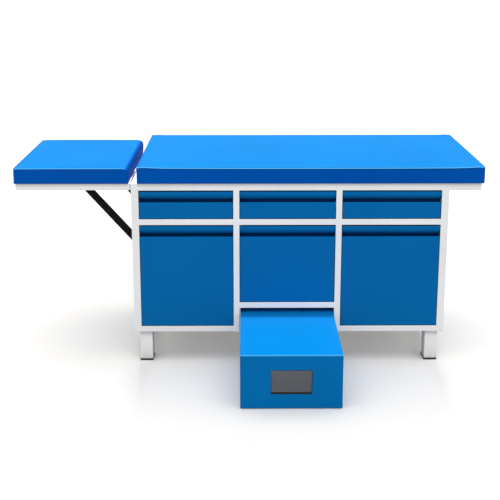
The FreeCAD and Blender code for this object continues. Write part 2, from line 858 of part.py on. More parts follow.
# Pull-out step: a folded sheet box, open below and behind. The edges of the hand hole
# in its front are turned in, so that no bare edge meets the fingers

def make_step():
    gap = sizes["step_side_gap"]
    skin = sizes["step_sheet"]
    flange = sizes["step_flange"]
    foot = sizes["step_foot_height"]
    left = bay_start["middle"] + gap
    width = bay_width["middle"] - gap * 2
    near = front - sizes["step_reach"]
    height = sizes["step_height"] - foot
    depth = sizes["step_depth"]
    outer = box("step_outer", (left, near, foot), (width, depth, height))
    inner = box("step_inner", (left + skin, near + skin, foot), (width - skin * 2, depth, height - skin))
    shell = cut("step_shell", outer, inner)
    flange_left = box("step_flange_left", (left, near, foot), (flange, depth, skin))
    flange_right = box("step_flange_right", (left + width - flange, near, foot), (flange, depth, skin))
    turn_in = sizes["hand_hole_return"]
    hole_width = sizes["hand_hole_width"]
    hole_height = sizes["hand_hole_height"]
    hole_left = left + (width - hole_width) / 2
    rise = sizes["hand_hole_rise"]
    rim = box("step_hole_rim", (hole_left - skin, near, rise - skin),
              (hole_width + skin * 2, turn_in, hole_height + skin * 2))
    blank = fuse("step_blank", shell, flange_left, flange_right, rim)
    hole = box("step_hole", (hole_left, near, rise), (hole_width, turn_in, hole_height))
    keep(cut("step_folded", blank, hole), "step_body")
    feet = []
    inset = sizes["step_foot_inset"]
    foot_length = sizes["step_foot_length"]
    for row, along in (("near", near + inset), ("far", near + depth - inset - foot_length)):
        for side, across in (("left", left), ("right", left + width - flange)):
            name = "step_foot_%s_%s" % (row, side)
            feet.append(box(name, (across, along, zero), (flange, foot_length, foot)))
    keep(group("step_feet_group", *feet), "step_feet")


def check_document():
    """Stops before anything is written if a feature failed or a shape is unusable."""
    for item in doc.Objects:
        if "Invalid" in item.State or "Error" in item.State:
            raise RuntimeError("%s failed: %s" % (item.Name, item.State))
    for item in pieces:
        if item.Shape.isNull() or not item.Shape.isValid() or item.Shape.Volume <= 0:
            raise RuntimeError("%s has no sound shape" % item.Label)


def write_parts():
    os.makedirs("parts", exist_ok=True)
    for item in pieces:
        item.Shape.exportStep(os.path.join("parts", item.Label + ".step"))


make_posts()
make_top_rails()
make_bay_rails()
make_legs()
make_panels()
make_drawers()
make_doors()
make_cushions()
make_head_frame()
make_hinges()
make_struts()
make_step()
doc.recompute()
check_document()
write_parts()
print("%d sub-parts written" % len(pieces))
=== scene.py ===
import json
import math

import bmesh
import bpy
from bpy.props import FloatProperty, FloatVectorProperty, IntProperty, PointerProperty
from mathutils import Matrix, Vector

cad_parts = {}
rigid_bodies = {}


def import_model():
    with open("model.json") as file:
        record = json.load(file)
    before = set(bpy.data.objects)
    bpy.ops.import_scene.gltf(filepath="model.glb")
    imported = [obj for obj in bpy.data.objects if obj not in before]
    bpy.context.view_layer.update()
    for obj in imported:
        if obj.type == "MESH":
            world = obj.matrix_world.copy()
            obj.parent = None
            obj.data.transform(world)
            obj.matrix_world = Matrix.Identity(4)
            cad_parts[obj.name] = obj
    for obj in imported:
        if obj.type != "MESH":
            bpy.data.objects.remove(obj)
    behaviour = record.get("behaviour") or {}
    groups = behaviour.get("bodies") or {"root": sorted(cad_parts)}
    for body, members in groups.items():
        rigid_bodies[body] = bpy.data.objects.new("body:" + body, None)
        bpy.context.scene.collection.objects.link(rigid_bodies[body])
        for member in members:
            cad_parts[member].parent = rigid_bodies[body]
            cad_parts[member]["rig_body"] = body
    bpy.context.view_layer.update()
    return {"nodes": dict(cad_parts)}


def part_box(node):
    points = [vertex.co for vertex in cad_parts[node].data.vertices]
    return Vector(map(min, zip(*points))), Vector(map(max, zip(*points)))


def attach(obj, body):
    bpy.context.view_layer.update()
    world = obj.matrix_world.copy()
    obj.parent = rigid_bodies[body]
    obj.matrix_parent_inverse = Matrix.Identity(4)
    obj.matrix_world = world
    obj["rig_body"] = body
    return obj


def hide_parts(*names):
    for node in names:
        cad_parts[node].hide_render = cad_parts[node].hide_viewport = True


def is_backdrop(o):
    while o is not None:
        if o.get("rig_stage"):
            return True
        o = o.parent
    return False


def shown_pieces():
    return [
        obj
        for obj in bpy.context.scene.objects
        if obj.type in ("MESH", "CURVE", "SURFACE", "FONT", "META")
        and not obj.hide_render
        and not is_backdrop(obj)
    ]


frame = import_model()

# Examination table: the looks of the couch, its cabinet, its struts and its step.
# Metres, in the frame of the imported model: +X to the foot end, -Y to the user, +Z up.

bl_info = {
    "name": "Examination table",
    "version": (1, 0, 0),
    "blender": (4, 5, 0),
    "location": "View3D > Sidebar > Exam Table",
    "description": "Dresses the packed examination table and sets up its studio",
    "category": "Object",
}

PICTURE = 500           # pixels along each side
SENSOR = 36.0           # millimetres
WELD = 1e-6             # places closer than this are one
SHARP_EDGE = math.radians(40.0)
ROUND_END_STOPS = (0.0, 0.25, 0.5, 0.75, 1.0, 1.4)
TUBE_CORNER_STEPS = 3
ROD_SIDES = 8
RIVET_SIDES = 12
RIVET_DOME = ((1.0, 0.0), (1.0, 0.18), (0.85, 0.36), (0.5, 0.5), (0.15, 0.54))
THREAD_RADIUS = 0.0004
THREAD_SIDES = 5
THREAD_SHARE = 0.72     # of the pitch; the rest is the gap to the next stitch
FLOOR_REACH = 60.0
CAMERA_REACH = 200.0
CABINET_TUBES = (
    "post_front_left", "post_front_middle_left", "post_front_middle_right", "post_front_right",
    "posts_rear", "rail_top_front", "rail_top_rear", "rail_top_head", "rail_top_foot",
    "rails_top_cross", "rails_middle_front", "rail_low_front_left", "rail_low_front_right",
    "rail_niche_front", "rails_low_rear", "rails_low_side",
)
HEAD_TUBES = ("head_rail_front", "head_rail_rear", "head_rail_end", "head_rail_hinge")
BAYS = ("left", "middle", "right")


# Sizes and colours that a user would change

COLOUR = {"subtype": "COLOR", "size": 3, "min": 0.0, "max": 1.0}
RISE = {"subtype": "ANGLE", "min": 0.0, "max": math.pi / 2}
SPAN = {"subtype": "ANGLE", "min": 0.0, "max": math.pi}
LAMP = {"min": 0.0, "max": 20.0}


class ExamTableCovers(bpy.types.PropertyGroup):
    """The two cushions."""

    # The top panels' vinyl and the darker side vinyl below are lit and shaded copies of one vinyl:
    # painted light on the tops, painted shade on the sides.
    colour: FloatVectorProperty(
        name="Vinyl", description="Colour of the cushion covers",
        default=(0.004, 0.165, 0.468), **COLOUR)
    side_shade_colour: FloatVectorProperty(
        name="Shaded side vinyl", description="Colour of the strip round the sides of the cushions, darker than the top as painted shade",
        default=(0.001, 0.090, 0.440), **COLOUR)
    edge_radius: FloatProperty(
        name="Edge radius", description="Rounding of the foam along its edges",
        unit="LENGTH", min=0.002, max=0.02, default=0.003)
    hinge_end_radius: FloatProperty(
        name="Hinge end radius", description="Rounding of the head cushion towards the gap",
        unit="LENGTH", min=0.005, max=0.03, default=0.018)
    slack: FloatProperty(
        name="Slack", description="How far inside its solid the cover starts",
        unit="LENGTH", min=0.0, max=0.006, default=0.0008)
    swell: FloatProperty(
        name="Swell", description="How far the foam may push the cover out",
        unit="LENGTH", min=0.0, max=0.01, default=0.0030)
    pressure: FloatProperty(
        name="Pressure", description="Push of the foam on the cover",
        min=0.0, max=20.0, default=4.0)
    frames: IntProperty(
        name="Frames", description="Steps of the cover's simulation", min=1, max=60, default=20)
    grid: FloatProperty(
        name="Grid", description="Spacing of the cover's mesh",
        unit="LENGTH", min=0.005, max=0.05, default=0.014)
    piping_radius: FloatProperty(
        name="Piping", description="Radius of the piping sewn in round the top panel",
        unit="LENGTH", min=0.0005, max=0.003, default=0.0016)
    # Paler vinyl along the piping's front: a painted highlight.
    piping_highlight_colour: FloatVectorProperty(
        name="Piping highlight", description="Colour the piping is paled to at its front, a painted highlight",
        default=(0.110, 0.440, 0.750), **COLOUR)
    seam_radius: FloatProperty(
        name="Seam", description="Radius of the sewn seams below the piping and at the corners",
        unit="LENGTH", min=0.0003, max=0.003, default=0.0008)
    stitch: FloatProperty(
        name="Stitch", description="Length of one stitch and its gap",
        unit="LENGTH", min=0.002, max=0.02, default=0.005)


class ExamTableMetal(bpy.types.PropertyGroup):
    """Painted tube and sheet, and the small trim on them."""

    frame_colour: FloatVectorProperty(
        name="Tube paint", description="Powder coat on the tube frame",
        default=(0.945, 0.95, 0.955), **COLOUR)
    front_colour: FloatVectorProperty(
        name="Front paint", description="Powder coat on the fronts and sides",
        default=(0.002, 0.149, 0.432), **COLOUR)
    # Darker blue deep in the finger pockets: painted shade.
    pocket_shade_colour: FloatVectorProperty(
        name="Pocket shade", description="Darker blue inside the finger pockets: painted shade",
        default=(0.001, 0.050, 0.200), **COLOUR)
    step_colour: FloatVectorProperty(
        name="Step paint", description="Powder coat on the step",
        default=(0.001, 0.166, 0.470), **COLOUR)
    # Black edging on the hand hole's rim: painted shade.
    hand_hole_shade_thickness: FloatProperty(
        name="Hand hole shade",
        description="Thickness of the black edging that paints shade on the step's hand hole rim",
        unit="LENGTH", min=0.0003, max=0.002, default=0.0008)
    inner_colour: FloatVectorProperty(
        name="Inner paint", description="Powder coat inside the cupboards and drawers",
        default=(0.38, 0.39, 0.39), **COLOUR)
    # Paler paint along the step's front edge: a painted highlight.
    step_highlight_colour: FloatVectorProperty(
        name="Step edge highlight", description="Painted highlight along the step's front edge",
        default=(0.035, 0.270, 0.560), **COLOUR)
    # Black strips in the front openings: painted shade in the gaps.
    gap_shade_thickness: FloatProperty(
        name="Gap shade strips", description="Thickness of the black strips that paint shade into the front openings",
        unit="LENGTH", min=0.0001, max=0.0004, default=0.00025)
    rivet_radius: FloatProperty(
        name="Rivet", description="Radius of the rivet heads on the panels",
        unit="LENGTH", min=0.001, max=0.006, default=0.0032)
    tube_radius: FloatProperty(
        name="Tube corner", description="Corner radius of the square tube",
        unit="LENGTH", min=0.0005, max=0.005, default=0.002)
    fold_radius: FloatProperty(
        name="Fold", description="Outside radius of folded sheet",
        unit="LENGTH", min=0.0002, max=0.004, default=0.0008)
    step_radius: FloatProperty(
        name="Step fold", description="Outside radius of the step's folds",
        unit="LENGTH", min=0.0002, max=0.004, default=0.0018)
    cap_thickness: FloatProperty(
        name="End cap", description="How far an end cap stands out of its tube",
        unit="LENGTH", min=0.0005, max=0.004, default=0.0015)


class ExamTableStudio(bpy.types.PropertyGroup):
    """Camera, floor and light."""

    camera_place: FloatVectorProperty(
        name="Camera", description="Where the camera stands",
        subtype="TRANSLATION", unit="LENGTH", size=3, default=(-0.0199, -3.9271, 1.6734))
    camera_pitch: FloatProperty(
        name="Pitch", description="How far the camera looks down",
        default=math.radians(13.006), **RISE)
    camera_yaw: FloatProperty(
        name="Yaw", description="How far the camera turns to the left",
        subtype="ANGLE", min=-math.pi, max=math.pi, default=math.radians(-0.338))
    focal_pixels: FloatProperty(
        name="Focal length", description="Focal length in pixels of the picture",
        subtype="PIXEL", min=100.0, max=5000.0, default=977.7)
    centre_row: FloatProperty(
        name="Centre row", description="Picture row of the lens axis",
        subtype="PIXEL", min=0.0, max=500.0, default=175.4)
    sky: FloatProperty(
        name="Sky", description="Strength of the even light from all round",
        min=0.0, max=5.0, default=0.70)
    key: FloatProperty(
        name="Key", description="Strength of the lamp overhead", default=3.45, **LAMP)
    key_lean: FloatProperty(
        name="Key lean", description="How far the overhead lamp leans in from behind",
        subtype="ANGLE", min=-math.pi / 2, max=math.pi / 2, default=math.radians(3.7))
    key_softness: FloatProperty(
        name="Key softness", description="Angle that the overhead lamp spans",
        default=math.radians(4.0), **SPAN)
    fill: FloatProperty(
        name="Fill", description="Strength of the lamp in front", default=1.25, **LAMP)
    fill_height: FloatProperty(
        name="Fill height", description="Angle of the front lamp above the floor",
        default=math.radians(55.0), **RISE)
    fill_softness: FloatProperty(
        name="Fill softness", description="Angle that the front lamp spans",
        default=math.radians(30.0), **SPAN)
    top: FloatProperty(
        name="Top light",
        description="Strength of the wide lamp above, which lights the floor only",
        default=1.15, **LAMP)
    top_softness: FloatProperty(
        name="Top light softness", description="Angle that the wide lamp spans",
        default=math.radians(75.0), **SPAN)
    back: FloatProperty(
        name="Back light",
        description="Strength of the low lamp behind, which lights the floor only",
        default=3.6, **LAMP)
    back_height: FloatProperty(
        name="Back light height", description="Angle of the low lamp above the floor",
        default=math.radians(9.0), **RISE)
    back_softness: FloatProperty(
        name="Back light softness", description="Angle that the low lamp spans",
        default=math.radians(12.0), **SPAN)
    floor_colour: FloatVectorProperty(
        name="Floor", description="Colour of the floor",
        default=(0.42, 0.42, 0.42), **COLOUR)


def covers():
    return bpy.context.scene.exam_table_covers


def metal():
    return bpy.context.scene.exam_table_metal


def studio():
    return bpy.context.scene.exam_table_studio


# Materials

def shader(name, colour, roughness, metallic=0.0, specular=0.5):
    """A material with its main shader set, and the object's own coordinates."""
    material = bpy.data.materials.new(name)
    material.use_nodes = True
    tree = material.node_tree
    surface = tree.nodes["Principled BSDF"]
    surface.inputs["Base Color"].default_value = (*colour, 1.0)
    surface.inputs["Roughness"].default_value = roughness
    surface.inputs["Metallic"].default_value = metallic
    surface.inputs["Specular IOR Level"].default_value = specular
    coordinates = tree.nodes.new("ShaderNodeTexCoord")
    return material, tree, surface, coordinates.outputs["Object"]


def add_node(tree, kind, inputs, **settings):
    """A shader node with its settings made, and its inputs linked to sockets or set to values."""
    node = tree.nodes.new(kind)
    for name, value in settings.items():
        setattr(node, name, value)
    for name, value in inputs.items():
        if isinstance(value, bpy.types.NodeSocket):
            tree.links.new(value, node.inputs[name])
        else:
            node.inputs[name].default_value = value
    return node


def stretch(tree, coordinates, scale):
    mapping = add_node(tree, "ShaderNodeMapping", {"Scale": scale, "Vector": coordinates})
    return mapping.outputs["Vector"]


def cloud(tree, coordinates, scale, detail, roughness=0.5):
    noise = add_node(tree, "ShaderNodeTexNoise", {
        "Scale": scale, "Detail": detail, "Roughness": roughness, "Vector": coordinates})
    return noise.outputs["Fac"]


def cells(tree, coordinates, scale):
    voronoi = add_node(tree, "ShaderNodeTexVoronoi", {"Scale": scale, "Vector": coordinates},
                       feature="DISTANCE_TO_EDGE")
    return voronoi.outputs["Distance"]


def maths(tree, operation, first, second):
    node = add_node(tree, "ShaderNodeMath", {0: first, 1: second}, operation=operation)
    return node.outputs["Value"]


def axes_of(tree, coordinates):
    return add_node(tree, "ShaderNodeSeparateXYZ", {"Vector": coordinates}).outputs


def shades(tree, surface, factor, bands):
    """A ramp from the factor to the base colour; bands are places and colours."""
    ramp = add_node(tree, "ShaderNodeValToRGB", {"Fac": factor})
    elements = ramp.color_ramp.elements
    while len(elements) < len(bands):
        elements.new(0.5)
    for element, (place, colour) in zip(elements, bands):
        element.position = place
        element.color = (*colour, 1.0)
    tree.links.new(ramp.outputs["Color"], surface.inputs["Base Color"])


def spread(tree, factor, low, high, target=None, from_low=0.0, from_high=1.0):
    """The factor between two levels, set to run from low to high."""
    ranged = add_node(tree, "ShaderNodeMapRange", {
        "Value": factor, "From Min": from_low, "From Max": from_high,
        "To Min": low, "To Max": high})
    if target is not None:
        tree.links.new(ranged.outputs["Result"], target)
    return ranged.outputs["Result"]


def bump(tree, surface, height, distance, strength, under=None):
    """Relief on the surface, over another relief where one is given."""
    inputs = {"Height": height, "Distance": distance, "Strength": strength}
    if under is not None:
        inputs["Normal"] = under
    relief = add_node(tree, "ShaderNodeBump", inputs)
    tree.links.new(relief.outputs["Normal"], surface.inputs["Normal"])
    return relief.outputs["Normal"]


def tinted(colour, gain):
    return [min(1.0, part * gain) for part in colour]


def drifting(tree, surface, coordinates, scale, colour, dark, light):
    """Lets the base colour drift a little over the piece."""
    drift = cloud(tree, coordinates, scale, 3.0)
    shades(tree, surface, drift, [
        (0.3, tinted(colour, dark)), (0.7, tinted(colour, light))])


def orange_peel(tree, surface, coordinates):
    bump(tree, surface, cloud(tree, coordinates, 420.0, 1.0), 0.00006, 0.5)


def powder_coat(name, colour, roughness):
    """Baked paint: an even colour over a faint orange peel."""
    material, tree, surface, coordinates = shader(name, colour, roughness, specular=0.03)
    drifting(tree, surface, coordinates, 3.0, colour, 0.95, 1.03)
    patches = cloud(tree, coordinates, 40.0, 4.0)
    spread(tree, patches, roughness - 0.04, roughness + 0.05, surface.inputs["Roughness"])
    orange_peel(tree, surface, coordinates)
    return material


def scuffed_coat(name, colour, roughness, scuff_height):
    """Powder coat that is greyed and scratched near the floor."""
    material, tree, surface, coordinates = shader(name, colour, roughness, specular=0.1)
    height = axes_of(tree, coordinates)["Z"]
    nearness = spread(tree, height, 1.0, 0.0, from_high=scuff_height)
    marks = cloud(tree, stretch(tree, coordinates, (1.0, 1.0, 0.3)), 90.0, 6.0, 0.7)
    shades(tree, surface, maths(tree, "MULTIPLY", nearness, marks), [
        (0.0, colour), (0.35, tinted(colour, 0.9)), (0.75, (0.36, 0.35, 0.33))])
    orange_peel(tree, surface, coordinates)
    return material


def vinyl(name, colour):
    """Upholstery vinyl: an embossed grain under a soft shine."""
    material, tree, surface, coordinates = shader(name, colour, 0.45, specular=0.004)
    drifting(tree, surface, coordinates, 2.2, colour, 0.93, 1.06)
    patches = cloud(tree, coordinates, 30.0, 4.0)
    spread(tree, patches, 0.38, 0.50, surface.inputs["Roughness"])
    creases = cloud(tree, stretch(tree, coordinates, (1.0, 1.6, 1.0)), 12.0, 3.0)
    soft = bump(tree, surface, creases, 0.0004, 0.35)
    grain = cells(tree, coordinates, 650.0)
    bump(tree, surface, grain, 0.00012, 0.5, soft)
    return material


def paint_edge_highlight(material, node, reach, colour):
    """Pales the material towards the upper front edge of the node's box: a painted highlight."""
    tree = material.node_tree
    surface = tree.nodes["Principled BSDF"]
    source = next(part for part in tree.nodes if part.bl_idname == "ShaderNodeTexCoord")
    axes = axes_of(tree, source.outputs["Object"])
    low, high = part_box(node)
    back = maths(tree, "SUBTRACT", axes["Y"], low.y)
    down = maths(tree, "SUBTRACT", high.z, axes["Z"])
    away = maths(tree, "ADD", back, down)
    highlight_share = spread(tree, away, 1.0, 0.0, from_low=reach * 0.4, from_high=reach)
    plain_colour = surface.inputs["Base Color"].links[0].from_socket
    blend = add_node(tree, "ShaderNodeMix", {"Factor": highlight_share, 6: plain_colour, 7: (*colour, 1.0)},
                     data_type="RGBA")
    tree.links.new(blend.outputs[2], surface.inputs["Base Color"])
    return material


def step_coat(name, colour, wear_and_highlight):
    """The fronts' powder coat, with a painted highlight along the step's front edge."""
    return paint_edge_highlight(powder_coat(name, colour, 0.40), "step_body", 0.0065, wear_and_highlight)


def highlit_piping_vinyl(name, colour, wear_and_highlight):
    """Piping in the side panels' vinyl, paler along the side where people sit down as a painted
    highlight.
    """
    return paint_edge_highlight(vinyl(name, colour), "main_cushion", 0.012, wear_and_highlight)


def plywood(name):
    """Birch ply: long streaks along the sheet and thin layers on its edges."""
    pale = (0.62, 0.45, 0.27)
    brown = (0.42, 0.27, 0.14)
    material, tree, surface, coordinates = shader(name, pale, 0.7)
    streaks = cloud(tree, stretch(tree, coordinates, (1.5, 40.0, 120.0)), 3.0, 5.0)
    shades(tree, surface, streaks, [(0.3, brown), (0.65, pale)])
    bump(tree, surface, streaks, 0.0002, 0.4)
    return material


def plated_steel(name, light, dull):
    """Plated steel: brushed along the part, a little cloudy."""
    material, tree, surface, coordinates = shader(name, light, 0.35, metallic=1.0)
    haze = cloud(tree, coordinates, 60.0, 4.0)
    shades(tree, surface, haze, [(0.35, dull), (0.65, light)])
    lines = cloud(tree, stretch(tree, coordinates, (30.0, 1.0, 30.0)), 40.0, 2.0)
    spread(tree, lines, 0.25, 0.45, surface.inputs["Roughness"])
    bump(tree, surface, lines, 0.00003, 0.5)
    return material


def moulded(name, colour, roughness, grain):
    """Rubber or plastic: one colour with a fine moulded texture."""
    material, tree, surface, coordinates = shader(name, colour, roughness, specular=0.3)
    drifting(tree, surface, coordinates, 25.0, colour, 0.85, 1.15)
    bump(tree, surface, cloud(tree, coordinates, 900.0, 1.0), grain, 0.5)
    return material


def black_paint(name):
    """Satin black paint, worn in patches."""
    black = (0.004, 0.004, 0.004)
    material, tree, surface, coordinates = shader(name, black, 0.45, specular=0.05)
    wear_and_highlight = cloud(tree, coordinates, 35.0, 5.0, 0.65)
    shades(tree, surface, wear_and_highlight, [
        (0.4, (0.003, 0.003, 0.003)), (0.75, (0.012, 0.012, 0.013))])
    spread(tree, wear_and_highlight, 0.3, 0.5, surface.inputs["Roughness"])
    bump(tree, surface, cloud(tree, coordinates, 500.0, 1.0), 0.00005, 0.4)
    return material


MADE = {}


def finish_of(slot):
    """The material for one of the record's finishes, made once."""
    if slot not in MADE:
        paint, cloth = metal(), covers()
        # each finish: its maker, its name, its colours, its roughness, its scuffs or grain
        maker, *values = {
            "frame_paint": (powder_coat, "white_powder_coat", paint.frame_colour, 0.42),
            "front_paint": (powder_coat, "blue_powder_coat", paint.front_colour, 0.40),
            "inner_paint": (powder_coat, "grey_powder_coat", paint.inner_colour, 0.55),
            # Finger pockets: painted shade in a darker blue.
            "pocket_painted_shade": (powder_coat, "thin_blue_coat", paint.pocket_shade_colour, 0.60),
            "leg_paint": (scuffed_coat, "scuffed_white_coat", paint.frame_colour, 0.45, 0.07),
            # Step paint, paled along its front edge as a painted highlight.
            "step_paint": (step_coat, "step_powder_coat", paint.step_colour, paint.step_highlight_colour),
            "vinyl": (vinyl, "blue_vinyl", cloth.colour),
            # The cushions' sides: the same vinyl made darker, as painted shade.
            "side_vinyl": (vinyl, "blue_side_vinyl", cloth.side_shade_colour),
            # Piping: the shaded side vinyl, paled to a painted highlight along the front.
            "piping": (highlit_piping_vinyl, "blue_piping_vinyl", cloth.side_shade_colour, cloth.piping_highlight_colour),
            "thread": (moulded, "blue_thread", (0.003, 0.055, 0.22), 0.6, 0.0001),
            # Black strips in the front gaps: painted shade.
            "seal": (moulded, "black_seal_rubber", (0.006, 0.006, 0.007), 0.8, 0.0001),
            "board_wood": (plywood, "birch_plywood"),
            "strut_black": (black_paint, "satin_black_paint"),
            "zinc_steel": (plated_steel, "zinc_plate", (0.70, 0.71, 0.72), (0.52, 0.53, 0.54)),
            # Pivot pins: the steel darkened as painted shade.
            "pin_steel": (plated_steel, "oiled_pin_steel", (0.10, 0.10, 0.11), (0.06, 0.06, 0.065)),
            "black_rubber": (moulded, "black_rubber", (0.022, 0.022, 0.023), 0.7, 0.0002),
            "slide_plastic": (moulded, "natural_nylon", (0.72, 0.72, 0.69), 0.5, 0.00005),
            "cap_plastic": (moulded, "white_cap_plastic", (0.80, 0.80, 0.81), 0.45, 0.00005),
        }[slot]
        MADE[slot] = maker(*values)
    return MADE[slot]


def paint_nodes(slot, *nodes):
    for node in nodes:
        mesh = frame["nodes"][node].data
        mesh.materials.clear()
        mesh.materials.append(finish_of(slot))


# Mesh makers

def other_axes(axis):
    return [number for number in range(3) if number != axis]


def longest_axis(size):
    return max(range(3), key=lambda number: size[number])


def add_object(name, data):
    """An object for the data, in the scene."""
    made = bpy.data.objects.new(name, data)
    bpy.context.scene.collection.objects.link(made)
    return made


def new_piece(name, mesh, slot, body, smooth_angle=math.radians(35)):
    """An object from a bmesh, with flat faces kept flat beside rounded edges."""
    bmesh.ops.recalc_face_normals(mesh, faces=mesh.faces)
    data = bpy.data.meshes.new(name)
    mesh.to_mesh(data)
    mesh.free()
    data.shade_smooth()
    data.set_sharp_from_angle(angle=smooth_angle)
    data.materials.append(finish_of(slot))
    piece = add_object(name, data)
    weighting = piece.modifiers.new("Even shading", "WEIGHTED_NORMAL")
    weighting.keep_sharp = True
    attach(piece, body)
    return piece


def shells_of(mesh):
    """The connected parts of a bmesh, each a list of vertices."""
    unseen = set(mesh.verts)
    shells = []
    for first in mesh.verts:
        if first not in unseen:
            continue
        unseen.discard(first)
        members = [first]
        for vertex in members:      # the list grows while it is walked
            for edge in vertex.link_edges:
                other = edge.other_vert(vertex)
                if other in unseen:
                    unseen.discard(other)
                    members.append(other)
        shells.append(members)
    return shells


def corners_of(vertices):
    """The low and the high corner of the box round the vertices."""
    return [Vector([pick(vertex.co[axis] for vertex in vertices) for axis in range(3)])
            for pick in (min, max)]


def holds(outer, inner):
    """Whether the inner box lies inside the outer one, clear of its faces."""
    return all(outer[0][axis] < inner[0][axis] - WELD and inner[1][axis] + WELD < outer[1][axis]
               for axis in range(3))


def welded_copy(node):
    """The node's mesh with its seams closed and its sealed hollows gone."""
    mesh = bmesh.new()
    mesh.from_mesh(frame["nodes"][node].data)
    bmesh.ops.remove_doubles(mesh, verts=mesh.verts, dist=WELD)
    shells = shells_of(mesh)
    boxes = [corners_of(shell) for shell in shells]
    hidden = []
    for shell, box in zip(shells, boxes):
        if any(holds(other, box) for other in boxes):
            hidden += shell
    bmesh.ops.delete(mesh, geom=hidden, context="VERTS")
    return mesh


def outer_boxes(node):
    mesh = welded_copy(node)
    boxes = [corners_of(shell) for shell in shells_of(mesh)]
    mesh.free()
    return boxes


def join_rings(mesh, rings, closed=False):
    """Skins a row of rings, with a flat face over both ends unless the row is closed."""
    following_rings = rings[1:] + rings[:1] if closed else rings[1:]
    for first, second in zip(rings, following_rings):
        for turn in range(len(first)):
            following = (turn + 1) % len(first)
            mesh.faces.new((first[turn], first[following], second[following], second[turn]))
    if not closed:
        mesh.faces.new(rings[0])
        mesh.faces.new(rings[-1])


def add_bar(mesh, low, high, radius, axis=None):
    """A bar with a rounded rectangular section, along its longest side unless told."""
    if axis is None:
        axis = longest_axis(high - low)
    across, up = other_axes(axis)
    turns = []
    for corner in range(4):
        right = corner in (0, 3)
        top = corner in (0, 1)
        centre_across = high[across] - radius if right else low[across] + radius
        centre_up = high[up] - radius if top else low[up] + radius
        for step in range(TUBE_CORNER_STEPS + 1):
            angle = math.radians(90.0 * corner + 90.0 * step / TUBE_CORNER_STEPS)
            turns.append((centre_across + radius * math.cos(angle),
                          centre_up + radius * math.sin(angle)))
    rings = []
    for end in (low[axis], high[axis]):
        ring = []
        for place_across, place_up in turns:
            place = Vector()
            place[axis], place[across], place[up] = end, place_across, place_up
            ring.append(mesh.verts.new(place))
        rings.append(ring)
    join_rings(mesh, rings)


def add_rod(mesh, points, radius, sides=ROD_SIDES, closed=False):
    """A round rod through the points."""
    count = len(points)
    rings = []
    for number, point in enumerate(points):
        before = points[number - 1] if closed or number else point
        after = points[(number + 1) % count] if closed or number < count - 1 else point
        along = (after - before).normalized()
        side = along.cross(Vector((0.0, 0.0, 1.0)))
        if side.length < 0.1:       # nearly upright
            side = along.cross(Vector((0.0, 1.0, 0.0)))
        side.normalize()
        other = along.cross(side)
        ring = []
        for turn in range(sides):
            angle = 2.0 * math.pi * turn / sides
            arm = math.cos(angle) * side + math.sin(angle) * other
            ring.append(mesh.verts.new(point + radius * arm))
        rings.append(ring)
    join_rings(mesh, rings, closed)


def add_stitches(mesh, points, pitch):
    """Short threads laid end to end along a closed line, each just clear of the next."""
    spans = list(zip(points, points[1:] + points[:1]))
    length = sum((second - first).length for first, second in spans)
    count = round(length / pitch)
    walked = 0.0
    number = 0
    for first, second in spans:
        span = (second - first).length
        while number < count and length * number / count < walked + span:
            share = (length * number / count - walked) / span
            start = first.lerp(second, share)
            end = start + (second - first).normalized() * pitch * THREAD_SHARE
            add_rod(mesh, [start, end], THREAD_RADIUS, THREAD_SIDES)
            number += 1
        walked += span


def rounded_node(node, radius, slot, name, segments=2):
    """A copy of a CAD node with every sharp edge rounded, which stands for the node."""
    mesh = welded_copy(node)
    sharp = [edge for edge in mesh.edges
             if len(edge.link_faces) == 2 and edge.calc_face_angle() > SHARP_EDGE]
    bmesh.ops.bevel(mesh, geom=sharp, offset=radius, offset_type="OFFSET", segments=segments,
                    profile=0.5, affect="EDGES", clamp_overlap=True)
    piece = new_piece(name, mesh, slot, frame["nodes"][node]["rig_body"])
    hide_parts(node)
    return piece


# Cushions: covers drawn over rounded blocks and swollen by their foam

def stops(low, high, edge_stops, step):
    """Places along a side: close together towards both ends, even in between."""
    low_part = [low + distance for distance in edge_stops[0]]
    high_part = [high - distance for distance in reversed(edge_stops[1])]
    start, end = low_part[-1], high_part[0]
    count = max(1, round((end - start) / step))
    middle = [start + (end - start) * number / count for number in range(1, count)]
    return low_part + middle + high_part


def on_block(point, low, high, radius, end_radius):
    """Moves a point of the plain block onto the block with rounded edges."""
    centre = Vector((high.x - end_radius, point.y, high.z - end_radius))
    reach = point - centre
    inner = Vector([min(max(point[axis], low[axis] + radius), high[axis] - radius)
                    for axis in range(3)])
    if reach.x > 0 and reach.z > 0:
        turn = reach.normalized()
        point = centre + turn * end_radius
        core = centre + turn * (end_radius - radius)
        inner.x, inner.z = core.x, core.z
    return inner + (point - inner).normalized() * radius


def grid_block(xs, ys, zs, settle):
    """A closed block of quads through the stops. Returns the bmesh and its vertices by place."""
    mesh = bmesh.new()
    lengths = (len(xs), len(ys), len(zs))
    made = {}

    def vertex(place):
        if place not in made:
            i, j, k = place
            made[place] = mesh.verts.new(settle(Vector((xs[i], ys[j], zs[k]))))
        return made[place]

    for axis in range(3):
        first, second = other_axes(axis)
        for level in (0, lengths[axis] - 1):
            for a in range(lengths[first] - 1):
                for b in range(lengths[second] - 1):
                    corners = []
                    for shift_a, shift_b in ((0, 0), (1, 0), (1, 1), (0, 1)):
                        place = [0, 0, 0]
                        place[axis], place[first], place[second] = level, a + shift_a, b + shift_b
                        corners.append(vertex(tuple(place)))
                    mesh.faces.new(corners)
    return mesh, made


